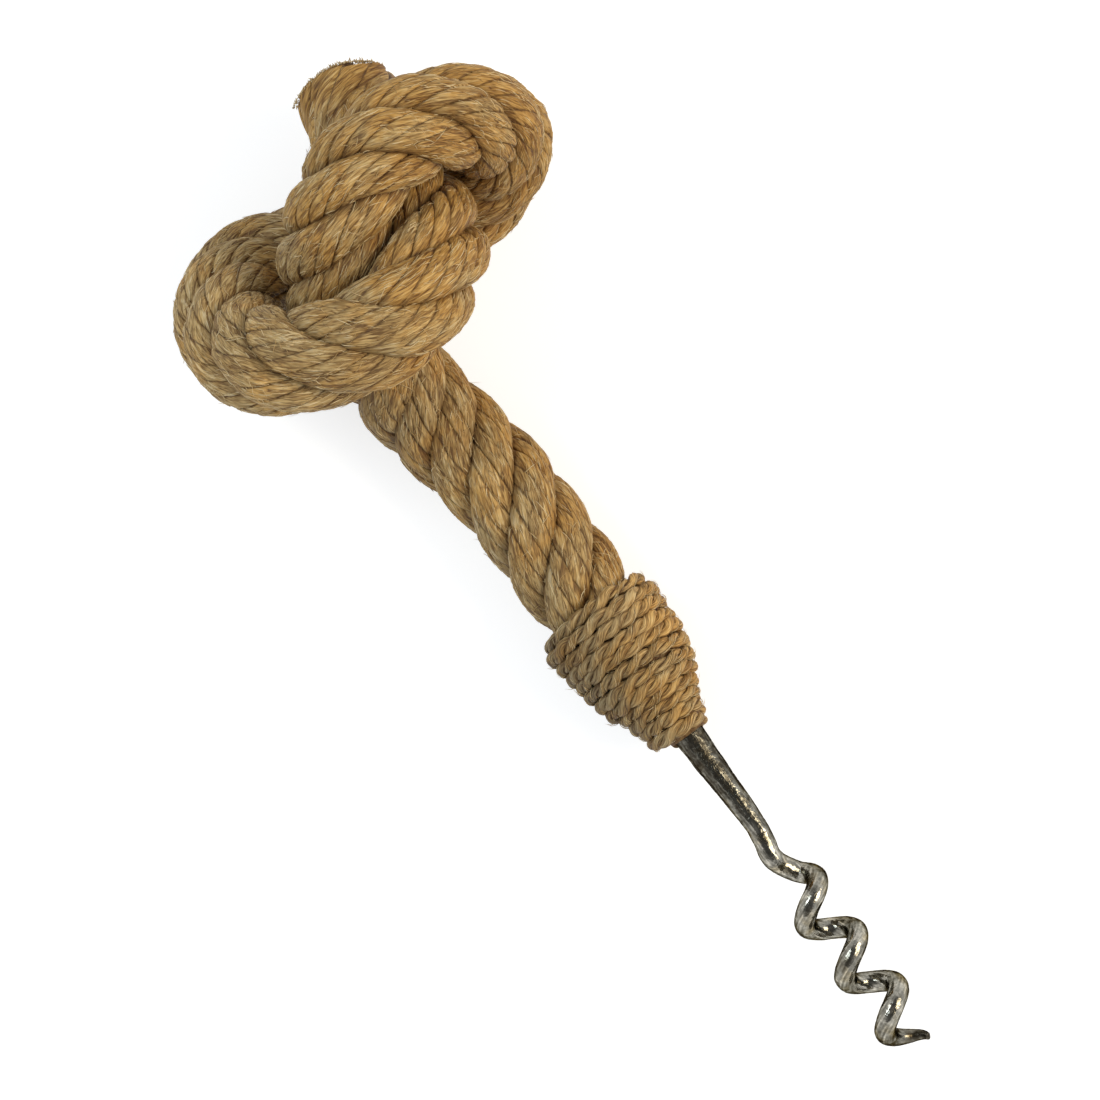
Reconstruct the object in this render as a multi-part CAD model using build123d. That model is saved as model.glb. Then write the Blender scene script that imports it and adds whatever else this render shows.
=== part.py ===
from build123d import *
import math
import os

import numpy as np

# A corkscrew whose handle is one length of thick rope tied in a knot.
# The rope's neck is thinned to a cone round the shank of a forged screw and whipped with twine.
#
# The whole part lies on its underside, in millimetres: X runs from the knot to the point of the
# worm, Z is up, and Z zero is the surface that the part lies on. The drawing starts at the wide
# end of the whipped neck, and the finished solids are moved so that the origin is the middle of
# the part's outline on that surface.

# Driving dimensions of the rope
ROPE_DIAMETER = 18.6
REST_FLAT_DEPTH = 0.5

# Driving dimensions of the whipped neck and its twine
NECK_LENGTH = 28.0
NECK_END_WALL = 0.4
TWINE_DIAMETER = 1.6
TWINE_TURNS = 12.0
TWINE_SEAT_GAP = 0.2
WHIPPING_START = 0.9
WHIPPING_END = 1.6

# Driving dimensions of the screw
SHANK_DIAMETER = 5.2
SHANK_LENGTH = 16.5
WIRE_DIAMETER = 3.5
LEAD_IN_LENGTH = 12.2
WORM_DIAMETER = 9.9
WORM_PITCH = 11.4
WORM_LENGTH = 35.0
WORM_OFFSET = 0.6
WORM_START_ANGLE = -45.0
TIP_LENGTH = 10.0
TIP_DIAMETER = 1.1
TANG_LENGTH = 24.0
TANG_DIAMETER = 3.4
TANG_HEAD_DIAMETER = 5.0
TANG_HEAD_LENGTH = 2.5
TANG_CLEARANCE = 0.05

# Overrun of a cutting solid past what it cuts
OVERRUN = 1.0

# The stem of the rope, from the neck's wide end towards the knot. Each point has its X and Y from
# the neck's axis, and its height as a share of the neck's rise over the rope's lowest pass.
STEM_ROUTE = [
    (0, 0, 1.0),
    (-13, 0, 1.0),
    (-26, -1.5, 0.6),
]

# The knot, from the stem to the tail: X and Y from the neck's axis, and the height over the rope's
# lowest pass.
KNOT_ROUTE = [
    (-40, -3, 0),
    (-51, -3.5, 2.5),
    (-60, -4, 9.5),
    (-68, -3.5, 18.5),
    (-77, -2, 27),
    (-83, 5, 34.5),
    (-86, 15.5, 36.5),
    (-83.5, 27, 34.5),
    (-78.5, 35, 26.5),
    (-73, 36, 15),
    (-68.5, 30, 5),
    (-68.5, 18.5, 0),
    (-72.5, 8, 0),
    (-79, -2.5, 0),
    (-81, -13.5, 5),
    (-77.5, -21, 14.5),
    (-71, -23, 25),
    (-65, -18, 34.5),
    (-61, -7.5, 39),
    (-60, 4.5, 38),
    (-64.5, 14, 31),
    (-70.5, 16.5, 22),
    (-80.5, 16.5, 17),
    (-89, 18, 10.5),
    (-97, 18.5, 5),
]

# A corner of the rope's route takes this share of its shorter run on each side
CORNER_SHARE = 0.45

# The twine's direction is taken over this share of a quarter turn, and gaps are measured between
# this many points on each arc
TANGENT_SHARE = 0.1
SAMPLES_PER_EDGE = 16

# The neck's outline under the twine: the place along the neck as a share of its length, and the
# radius as a share of the way from the neck's end to the full rope
NECK_OUTLINE_SHARES = [
    (0, 1.0),
    (0.12, 0.985),
    (0.30, 0.93),
    (0.46, 0.82),
    (0.58, 0.62),
    (0.70, 0.36),
    (0.84, 0.19),
    (0.94, 0.07),
    (1.0, 0),
]

# The lead-in between the shank and the first turn: the place along it as a share of its length,
# and Y and Z from the shank's axis as shares of the worm's wire radius about its own axis
LEAD_IN_SHARES = [
    (0, 0, 0),
    (0.28, -0.18, 0),
    (0.52, -0.40, -0.14),
    (0.74, -0.18, -0.62),
]

ROPE_RADIUS = ROPE_DIAMETER / 2
TWINE_RADIUS = TWINE_DIAMETER / 2
SHANK_RADIUS = SHANK_DIAMETER / 2
WIRE_RADIUS = WIRE_DIAMETER / 2
COIL_RADIUS = WORM_DIAMETER / 2 - WIRE_RADIUS
NECK_END_RADIUS = SHANK_RADIUS + TANG_CLEARANCE + NECK_END_WALL
WHIPPING_RADIUS = ROPE_RADIUS + TWINE_SEAT_GAP + TWINE_DIAMETER

# Heights over the surface that the part lies on
LOW_PASS_HEIGHT = ROPE_RADIUS - REST_FLAT_DEPTH
NECK_HEIGHT = WHIPPING_RADIUS - REST_FLAT_DEPTH
NECK_RISE = NECK_HEIGHT - LOW_PASS_HEIGHT


def unit(vector):
    return vector / np.linalg.norm(vector)


def biarcs(points, tangents):
    """Two tangent arcs between each point and the next, and the least radius among them all."""
    edges = []
    for start, end, leave, arrive in zip(points, points[1:], tangents, tangents[1:]):
        chord = end - start
        both = leave + arrive
        bend = 2 * (1 - leave @ arrive)
        reach = (math.sqrt((chord @ both) ** 2 + bend * (chord @ chord)) - chord @ both) / bend
        near, far = start + reach * leave, end - reach * arrive
        middle, middle_tangent = (near + far) / 2, unit(far - near)
        for begin, direction, finish in ((start, leave, middle), (middle, middle_tangent, end)):
            edges.append(Edge.make_tangent_arc(Vector(*begin), Vector(*direction), Vector(*finish)))
    return edges, min(edge.radius for edge in edges)


def least_gap(edges, diameter):
    """The least gap of a tube to itself, between points over three diameters apart along it."""
    shares = np.linspace(0, 1, SAMPLES_PER_EDGE, endpoint=False)
    points = np.array([tuple(edge @ share) for edge in edges for share in shares])
    along = np.cumsum(np.linalg.norm(np.diff(points, axis=0, prepend=points[:1]), axis=1))
    apart = np.linalg.norm(points[:, None] - points[None], axis=2)
    apart[np.abs(along[:, None] - along[None]) < 3 * diameter] = math.inf
    return apart.min() - diameter


def tube(edges, radius):
    """A round tube of one radius along a chain of edges."""
    path = Wire(edges)
    section = Plane(origin=path @ 0, z_dir=path % 0) * Circle(radius)
    return sweep(section, path=path)


def rope_route():
    """The points of the rope's centre line, from the neck's wide end to the end of the tail."""
    stem = [(x, y, LOW_PASS_HEIGHT + share * NECK_RISE) for x, y, share in STEM_ROUTE]
    knot = [(x, y, LOW_PASS_HEIGHT + rise) for x, y, rise in KNOT_ROUTE]
    return stem + knot


def corner_radii(route):
    """The radius of the arc at each inner point of a route, as large as its runs allow."""
    points = [np.array(point, float) for point in route]
    radii = []
    for before, corner, after in zip(points, points[1:], points[2:]):
        run_in, run_out = corner - before, after - corner
        shorter = min(np.linalg.norm(run_in), np.linalg.norm(run_out))
        turn = math.acos(unit(run_in) @ unit(run_out))
        radii.append(CORNER_SHARE * shorter / math.tan(turn / 2))
    return radii


def neck_outline():
    """The neck's outline, as a curve in the plane of its axis, from its wide end to its thin end."""
    swell = ROPE_RADIUS - NECK_END_RADIUS
    points = [(along * NECK_LENGTH, NECK_END_RADIUS + share * swell) for along, share in NECK_OUTLINE_SHARES]
    return Spline(*points)


def neck_core(outline):
    """The thinned end of the rope, solid, on the X axis."""
    wide, thin = outline @ 0, outline @ 1
    edges = [
        outline,
        Line(thin, (thin.X, 0)),
        Line((thin.X, 0), (wide.X, 0)),
        Line((wide.X, 0), wide),
    ]
    return revolve(make_face(edges), Axis.X)


def tang(clearance):
    """The tang and its head inside the neck, on the X axis, grown all round by a clearance."""
    inner_end = NECK_LENGTH - TANG_LENGTH
    head_end = inner_end + TANG_HEAD_LENGTH
    points = [
        (inner_end - clearance, 0),
        (inner_end - clearance, TANG_HEAD_DIAMETER / 2 + clearance),
        (head_end + clearance, TANG_HEAD_DIAMETER / 2 + clearance),
        (head_end + clearance, TANG_DIAMETER / 2 + clearance),
        (NECK_LENGTH, SHANK_RADIUS + clearance),
        (NECK_LENGTH, 0),
    ]
    return revolve(make_face(Polyline(*points, close=True)), Axis.X)


def rope_handle(outline):
    """The knotted rope with its thinned neck, bored for the tang and flat where it rests."""
    route = rope_route()
    radii = corner_radii(route)
    path = FilletPolyline(*route, radius=radii)
    body = tube(path.edges(), ROPE_RADIUS)
    plain_volume = math.pi * ROPE_RADIUS**2 * path.length
    print("rope corner radii, mm:", ", ".join(f"{radius:.1f}" for radius in radii))
    print(f"rope length, mm: {path.length:.1f} and {NECK_LENGTH:.1f} in the neck")
    print(f"rope volume over section times length: {body.volume / plain_volume:.4f}")
    print(f"rope least gap to itself, mm: {least_gap(path.edges(), ROPE_DIAMETER):.2f}")
    neck = Pos(0, 0, NECK_HEIGHT) * (neck_core(outline) - tang(TANG_CLEARANCE))
    return body + neck


def wound_point(outline, turn):
    """The twine's centre after so many turns, on the X axis. The winding is left-handed."""
    laid_length = outline.length - WHIPPING_START - WHIPPING_END
    share = (WHIPPING_START + laid_length * turn / TWINE_TURNS) / outline.length
    foot, along = outline @ share, outline % share
    lift = TWINE_SEAT_GAP + TWINE_RADIUS
    x, radius = foot.X - along.Y * lift, foot.Y + along.X * lift
    angle = -2 * math.pi * turn
    return np.array((x, radius * math.cos(angle), radius * math.sin(angle)))


def neck_whipping(outline):
    """One unbroken twine wound down the neck, in quarter turns, with short straight ends."""
    quarters = math.ceil(4 * TWINE_TURNS)
    nudge = TWINE_TURNS / quarters * TANGENT_SHARE
    points, tangents = [], []
    for turn in np.linspace(0, TWINE_TURNS, quarters + 1):
        before, after = max(turn - nudge, 0), min(turn + nudge, TWINE_TURNS)
        points.append(wound_point(outline, turn))
        tangents.append(unit(wound_point(outline, after) - wound_point(outline, before)))
    edges, least_radius = biarcs(points, tangents)
    first, last = points[0] - TWINE_DIAMETER * tangents[0], points[-1] + TWINE_DIAMETER * tangents[-1]
    edges.insert(0, Edge.make_line(Vector(*first), Vector(*points[0])))
    edges.append(Edge.make_line(Vector(*points[-1]), Vector(*last)))
    print(f"twine length, mm: {sum(edge.length for edge in edges):.0f}")
    print(f"twine least radius, mm: {least_radius:.2f}")
    print(f"twine least gap to itself, mm: {least_gap(edges, TWINE_DIAMETER):.2f}")
    return Pos(0, 0, NECK_HEIGHT) * tube(edges, TWINE_RADIUS)


def worm_point(angle):
    """The wire's centre at an angle of the worm, in degrees, from the start of the shank."""
    start = SHANK_LENGTH + LEAD_IN_LENGTH
    turn = math.radians(angle)
    x = start + WORM_PITCH * (angle - WORM_START_ANGLE) / 360
    return np.array((x, COIL_RADIUS * math.cos(turn) - WORM_OFFSET, COIL_RADIUS * math.sin(turn)))


def worm_tangent(angle):
    turn = math.radians(angle)
    rise = WORM_PITCH / (2 * math.pi)
    return unit(np.array((rise, -COIL_RADIUS * math.sin(turn), COIL_RADIUS * math.cos(turn))))


def screw():
    """The forged screw: tang, tapered shank, lead-in, open right-handed worm and ground point."""
    degrees_per_mm = 360 / math.hypot(WORM_PITCH, 2 * math.pi * COIL_RADIUS)
    end_angle = WORM_START_ANGLE + 360 * WORM_LENGTH / WORM_PITCH
    tip_start = end_angle - TIP_LENGTH * degrees_per_mm

    lead = [
        np.array((SHANK_LENGTH + along * LEAD_IN_LENGTH, y * COIL_RADIUS, z * COIL_RADIUS))
        for along, y, z in LEAD_IN_SHARES
    ]
    quarters = math.ceil((tip_start - WORM_START_ANGLE) / 90)
    angles = np.linspace(WORM_START_ANGLE, tip_start, quarters + 1)
    points = lead + [worm_point(angle) for angle in angles]
    lead_tangents = [np.array((1.0, 0, 0))]
    lead_tangents += [unit(points[i + 1] - points[i - 1]) for i in range(1, len(lead))]
    edges, least_radius = biarcs(points, lead_tangents + [worm_tangent(angle) for angle in angles])
    print(f"worm wire least radius, mm: {least_radius:.2f}")
    wire = tube(edges, WIRE_RADIUS)

    steps = math.ceil(TIP_LENGTH / WIRE_RADIUS)
    circles = []
    for share in np.linspace(0, 1, steps + 1):
        angle = tip_start + share * (end_angle - tip_start)
        plane = Plane(origin=Vector(*worm_point(angle)), z_dir=Vector(*worm_tangent(angle)))
        circles.append(plane * Circle(WIRE_RADIUS + share * (TIP_DIAMETER / 2 - WIRE_RADIUS)))
    tip = loft(circles)

    shank_outline = Polyline((0, 0), (0, SHANK_RADIUS), (SHANK_LENGTH, WIRE_RADIUS), (SHANK_LENGTH, 0), close=True)
    shank = revolve(make_face(shank_outline), Axis.X)
    working_end = Pos(NECK_LENGTH, 0, 0) * (shank + wire + tip)
    return Pos(0, 0, NECK_HEIGHT) * (tang(0) + working_end)


def cut_flat(solid):
    """Cuts a solid off at the surface that the part lies on."""
    box = solid.bounding_box()
    middle = box.center()
    size = box.size
    depth = 2 * ROPE_DIAMETER
    below = Box(size.X + 2 * OVERRUN, size.Y + 2 * OVERRUN, depth)
    return solid - Pos(middle.X, middle.Y, -depth / 2) * below


outline = neck_outline()
nodes = {
    "rope_handle": cut_flat(rope_handle(outline)),
    "neck_whipping": cut_flat(neck_whipping(outline)),
    "screw": screw(),
}

whole = Compound(children=[Compound(shape.solids()) for shape in nodes.values()]).bounding_box()
to_origin = Pos(-whole.center().X, -whole.center().Y, 0)
print(f"neck's wide end lies at X {-whole.center().X:.2f}, Y {-whole.center().Y:.2f} mm")
print(f"overall size, mm: {whole.size.X:.1f} x {whole.size.Y:.1f} x {whole.size.Z:.1f}")

os.makedirs("parts", exist_ok=True)
for name, shape in nodes.items():
    export_step(to_origin * shape, f"parts/{name}.step")
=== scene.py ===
from math import atan, cos, hypot, pi, tau

import bpy
import numpy as np
from mathutils import Matrix, Vector, noise


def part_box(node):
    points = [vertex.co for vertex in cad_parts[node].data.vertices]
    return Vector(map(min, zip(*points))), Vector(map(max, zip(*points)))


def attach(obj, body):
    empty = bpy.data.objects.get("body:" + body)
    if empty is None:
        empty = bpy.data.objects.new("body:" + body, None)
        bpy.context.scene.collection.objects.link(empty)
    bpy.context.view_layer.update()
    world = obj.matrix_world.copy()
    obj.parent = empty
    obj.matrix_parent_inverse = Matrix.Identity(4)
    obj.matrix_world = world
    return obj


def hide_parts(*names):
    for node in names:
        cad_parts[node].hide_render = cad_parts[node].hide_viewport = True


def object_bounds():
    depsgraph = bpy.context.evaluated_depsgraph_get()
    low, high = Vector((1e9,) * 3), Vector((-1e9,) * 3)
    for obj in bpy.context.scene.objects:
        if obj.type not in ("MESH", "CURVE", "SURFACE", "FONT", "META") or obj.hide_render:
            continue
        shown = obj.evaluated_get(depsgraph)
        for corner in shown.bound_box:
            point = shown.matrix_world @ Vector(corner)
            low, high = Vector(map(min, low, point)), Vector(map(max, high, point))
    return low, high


# The looks of a corkscrew with a knotted rope handle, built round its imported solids, in metres:
# laid strands and their yarns, plied twine, a forged screw, and loose fibres on rope and twine.

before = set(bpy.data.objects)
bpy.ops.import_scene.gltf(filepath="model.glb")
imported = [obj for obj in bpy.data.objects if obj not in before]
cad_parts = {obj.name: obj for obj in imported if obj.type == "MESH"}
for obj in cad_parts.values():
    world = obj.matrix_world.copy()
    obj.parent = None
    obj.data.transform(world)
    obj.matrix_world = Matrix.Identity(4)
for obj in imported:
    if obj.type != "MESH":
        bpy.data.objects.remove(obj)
cad_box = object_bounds()

MM = 0.001
TINY = 1e-9

# Driving dimensions of the part, as its source has them
ROPE_DIAMETER = 18.6 * MM
REST_FLAT_DEPTH = 0.5 * MM
NECK_LENGTH = 28 * MM
NECK_END_RADIUS = 3.05 * MM
TWINE_DIAMETER = 1.6 * MM
TWINE_TURNS = 12.0
TWINE_SEAT_GAP = 0.2 * MM
WORM_LENGTH = 35 * MM
WORM_PITCH = 11.4 * MM
WORM_OFFSET = 0.6 * MM
WORM_START_TURN = -0.125
COIL_RADIUS = 3.2 * MM

ROPE_RADIUS = ROPE_DIAMETER / 2
LOW_PASS_HEIGHT = ROPE_RADIUS - REST_FLAT_DEPTH
NECK_HEIGHT = ROPE_RADIUS + TWINE_SEAT_GAP + TWINE_DIAMETER - REST_FLAT_DEPTH

# The rope's route from the neck's wide end to the end of the tail: X and Y from the neck's axis, and
# the height, on the stem as a share of the neck's rise and in the knot over the rope's lowest pass
STEM_ROUTE = [
    (0, -0.0005, 1.0), (-0.009, -0.0003, 1.0), (-0.019, 0.0002, 0.9), (-0.029, -0.0003, 0.5),
]
KNOT_ROUTE = [
    (-0.0405, -0.0020, 0), (-0.051, -0.0034, 0.0025), (-0.060, -0.0036, 0.0095),
    (-0.0674, -0.0026, 0.0185), (-0.0754, -0.0007, 0.027), (-0.0809, 0.0057, 0.0345),
    (-0.0852, 0.0155, 0.0365), (-0.0838, 0.0269, 0.0345), (-0.0791, 0.0347, 0.0265),
    (-0.0735, 0.0353, 0.015), (-0.0700, 0.0288, 0.005), (-0.0690, 0.0182, 0), (-0.0725, 0.008, 0),
    (-0.0785, -0.0032, 0), (-0.0819, -0.0135, 0.004), (-0.0782, -0.0206, 0.0145),
    (-0.071, -0.0221, 0.025), (-0.065, -0.0174, 0.0345), (-0.0606, -0.0075, 0.039),
    (-0.0594, 0.0049, 0.038), (-0.0639, 0.0145, 0.031), (-0.0702, 0.0168, 0.022),
    (-0.0805, 0.0155, 0.017), (-0.0892, 0.0169, 0.0105), (-0.0979, 0.0191, 0.005),
]
ROUTE_STEPS = 24

# The neck's outline under the twine: place along the neck and radius, as shares
NECK_OUTLINE_SHARES = [
    (0, 1.0), (0.12, 0.985), (0.30, 0.93), (0.46, 0.82), (0.58, 0.62), (0.70, 0.36), (0.84, 0.19),
    (0.94, 0.07), (1.0, 0),
]

# The laid rope: four strands on a ring, each with its outer yarns laid the other way
STRANDS = 4
STRAND_RING_RADIUS = 5.48 * MM
STRAND_RADIUS = 3.72 * MM
STRAND_WIDENING = 1.08
STRAND_SQUARENESS = 2.3
STRAND_STEP = 0.5 * MM
ROPE_LAY = 42.0 * MM
# How far the strands are turned round the rope, over an even lay: place along the rope and turn
STRAND_TURNS = [
    (0, 0.40), (0.030, 0.42), (0.100, 0.93), (0.238, 1.84), (0.250, 1.76), (0.262, 1.74),
    (0.275, 1.45), (0.290, 1.20),
]
TURN_SMOOTHING = 31
YARNS = 7
YARN_LAY = 21 * MM
FIBRE_TURN_SHARE = 0.5
# Points round a yarn as shares of its width, closer together at its sides
YARN_POINT_SHARES = np.array((0, 0.05, 0.13, 0.26, 0.42, 0.58, 0.74, 0.87, 0.95))
YARN_GROOVE = 0.26 * MM
LEAST_YARN_GROOVE = 0.1 * MM
YARN_EDGE_POWER = 7
YARN_CROWN_SHARE = 0.35
STRAND_UV_STEP = YARNS + 4
# How uneven yarns, grooves and strands are, and how long their waves are
YARN_UNEVENNESS, YARN_WAVE = 0.13 * MM, 9 * MM
GROOVE_UNEVENNESS, GROOVE_WAVE = 0.5, 6 * MM
STRAND_UNEVENNESS, STRAND_WAVE = 0.10 * MM, 25 * MM
# Where passes of the rope meet, their strands press each other aside
PRESSED_RADIUS = 0.94 * STRAND_RADIUS
PRESS_OWN_REACH = 1.6 * ROPE_DIAMETER
PRESS_ROUNDS = 24
PRESS_SMOOTHING = 15
# Painted shade between strands: how far along its own pass a strand is left out, and how fast the shade
# fades with the gap
ROPE_OWN_REACH = 1.5 * ROPE_DIAMETER
ROPE_CREVICE_SHADE_FADE = 0.72 * MM
# The rope's end under the twine is thinner
TUCK_LENGTH = 6 * MM
TUCK_REACH = 1.4 * TUCK_LENGTH
TUCK_SHRINK = 0.18
# Towards its cut end the rope's strands draw together, and their yarns untwist
TAIL_LENGTH = 18 * MM
TAIL_RING_SHRINK = 0.20
TAIL_STRAND_GROWTH = 0.22
TAIL_EXTRA_TWIST = 0.9
TAIL_YARN_UNTWIST = 0.75
TAIL_DOME_RADIUS = 10 * MM
TAIL_DOME_RISE = 1.5 * MM
TAIL_OVERRUN = 6 * MM
TAIL_CUT_WINDOW = 3 * TAIL_OVERRUN
TAIL_RAGGEDNESS = 0.45 * MM

# The rope inside the whipping, with painted shade all over it as it lies under the twine
CORE_RINGS, CORE_POINTS = 40, 48
CORE_START_SHARE, CORE_END_SHARE = 0.04, 0.925
CORE_DEPTH = 0.15 * MM
CORE_YARN_STEP = 0.2
CORE_CREVICE_SHADE = 0.8

# The twine: two plies, wound down the neck a little unevenly
PLIES = 2
PLY_RING_RADIUS = 0.53 * MM
PLY_RADIUS = 0.78 * MM
PLY_THINNING = 0.88
PLY_WIDENING = 1.1
# Painted shade between plies: how far along itself a ply is left out, and how fast the shade fades with the
# gap
PLY_OWN_REACH = 4 * MM
PLY_CREVICE_SHADE_FADE = 0.15 * MM
PLY_YARNS = 2
PLY_YARN_LAY = 22 * MM
PLY_GROOVE = 0.07 * MM
PLY_EDGE_POWER = 3
PLY_UV_STEP = 7
PLY_POINT_SHARES = np.array((0, 0.08, 0.2, 0.36, 0.5, 0.64, 0.8, 0.92))
TWINE_FLATNESS = 0.66
TWINE_SPREAD = 1.12
TWINE_LAY = 7.2 * MM
TWINE_STEP = 0.33 * MM
TWINE_SAMPLES = 2000
# How far the twine's centre lies off the neck: turn and height
TWINE_LIFTS = [
    (0.1, 0.05 * MM), (0.8, 0.20 * MM), (1.3, 1.25 * MM), (2.3, 1.20 * MM), (3.3, 0.92 * MM),
    (8, 0.88 * MM), (9.5, 0.60 * MM), (11, 0.58 * MM), (12, 0.30 * MM),
]
# Each end of the twine dips under the turns beside it
TWINE_DIP = 2.2 * MM
TWINE_DIP_TURNS = 0.12
# How uneven the whole twine is, and in how many waves
TURN_UNEVENNESS, TURN_WAVES = 0.12 * MM, 60
TURN_LIFT_SHARE = 0.6
PLY_UNEVENNESS, PLY_WAVES = 0.12, 160
PLY_TURN_UNEVENNESS, PLY_TURN_WAVES = 0.55, 80
PLY_GROOVE_UNEVENNESS, PLY_GROOVE_WAVES = 0.4, 200
# Where the turns lie on the neck, as the photograph shows them
WHIPPING_START = -0.5 * MM
WHIPPING_END = 2.9 * MM
TURN_TILT = 1.1 * MM
FIRST_TURN_SHIFT = 1.6 * MM
FIRST_TURNS = 5.5
WHIPPING_SIDESTEP = 0.3 * MM
FIRST_SIDESTEP, FIRST_SIDESTEP_TURNS = 0.25 * MM, 3
END_SIDESTEP = 0.7 * MM
END_SIDESTEP_FROM, END_SIDESTEP_REACH = 18 * MM, 6 * MM

neck_low, neck_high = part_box("neck_whipping")
rope_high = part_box("rope_handle")[1]
NECK_START = np.array((rope_high.x - NECK_LENGTH, (neck_low.y + neck_high.y) / 2, 0))
NECK_ORIGIN = NECK_START + (0, 0, NECK_HEIGHT)
TWINE_ORIGIN = NECK_ORIGIN - (0, WHIPPING_SIDESTEP, 0)
SHANK_START = NECK_START[0] + NECK_LENGTH
SCREW_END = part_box("screw")[1].x
WANDER_SIZE = 1.6
scene = bpy.context.scene
rng = np.random.default_rng(7)


def unit(vectors):
    return vectors / np.linalg.norm(vectors, axis=-1, keepdims=True)


def square_to(tangents, vectors):
    """The directions of vectors, square to the tangents."""
    return unit(vectors - (vectors * tangents).sum(-1, keepdims=True) * tangents)


def turned_from(out, side, angles):
    """The outward direction turned by angles towards the side."""
    return np.cos(angles)[..., None] * out + np.sin(angles)[..., None] * side


def section(centre, up, outward, aside, sideways):
    """Rings of points round a line, each so far up its outward side and so far aside."""
    return centre[:, None] + up[..., None] * outward[:, None] + aside[..., None] * sideways[:, None]


def eased(values):
    """Shares held between 0 and 1, and eased at both ends."""
    share = np.clip(values, 0, 1)
    return share**2 * (3 - 2 * share)


def smoothed(values, width):
    """Values along a line, evened out over so many neighbours."""
    kernel = np.hanning(width)
    return np.convolve(np.pad(values, width // 2, mode="edge"), kernel / kernel.sum(), "valid")


def yarn_points(shares, yarns):
    """The yarn of each point round a strand or a ply, and its share of that yarn's width."""
    return np.repeat(np.arange(yarns), len(shares)), np.tile(shares, yarns)


def uv_grid(along, across):
    return np.stack(np.meshgrid(along, across, indexing="ij"), -1)


def new_object(name, data):
    piece = bpy.data.objects.new(name, data)
    scene.collection.objects.link(piece)
    return piece


def spline_line(points):
    """The line of one open NURBS spline with the given control points, as points read from it."""
    data = bpy.data.curves.new("route", "CURVE")
    data.dimensions = "3D"
    data.resolution_u = ROUTE_STEPS
    spline = data.splines.new("NURBS")
    spline.points.add(len(points) - 1)
    for control, place in zip(spline.points, points):
        control.co = (*place, 1)
    spline.order_u = 3
    spline.use_endpoint_u = True
    holder = bpy.data.objects.new("route", data)
    mesh = bpy.data.meshes.new_from_object(holder)
    line = np.array([vertex.co for vertex in mesh.vertices])
    bpy.data.objects.remove(holder)
    bpy.data.curves.remove(data)
    bpy.data.meshes.remove(mesh)
    return line


def lengths(line):
    """How far along a line each of its points is."""
    return np.concatenate([[0], np.cumsum(np.linalg.norm(np.diff(line, axis=0), axis=1))])


def at(places, along, values):
    """Values that go with the places along a line, read between them."""
    places = np.asarray(places)
    if values.ndim == 1:
        return np.interp(places, along, values)
    return np.stack([np.interp(places, along, column) for column in values.T], axis=-1)


def wander(count, waves, tracks=1):
    """Smooth random tracks of about unit size: so many waves over so many samples."""
    knots = rng.normal(size=(tracks, max(int(waves), 2) + 4))
    places = np.linspace(1, knots.shape[1] - 3, count)
    whole = np.minimum(places.astype(int), knots.shape[1] - 4)
    part = places - whole
    # The four weights of a cubic B-spline
    weights = [
        (1 - part) ** 3 / 6,
        (3 * part**3 - 6 * part**2 + 4) / 6,
        (-3 * part**3 + 3 * part**2 + 3 * part + 1) / 6,
        part**3 / 6,
    ]
    return WANDER_SIZE * sum(weight * knots[:, whole + i] for i, weight in enumerate(weights))


def turning_frame(line, first_normal):
    """The tangent, normal and binormal along a line, carried along it without twist."""
    tangents = unit(np.gradient(line, axis=0))
    normal = np.array(first_normal, float)
    normals = []
    for i, tangent in enumerate(tangents):
        if i:
            chord = line[i] - line[i - 1]
            half = normal - 2 * (chord @ normal) / (chord @ chord) * chord
            bent = tangents[i - 1] - 2 * (chord @ tangents[i - 1]) / (chord @ chord) * chord
            step = tangent - bent
            size = step @ step
            normal = half - 2 * (step @ half) / size * step if size > TINY**2 else half
        normal = square_to(tangent, normal)
        normals.append(normal)
    normals = np.array(normals)
    return tangents, normals, np.cross(tangents, normals)


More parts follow.
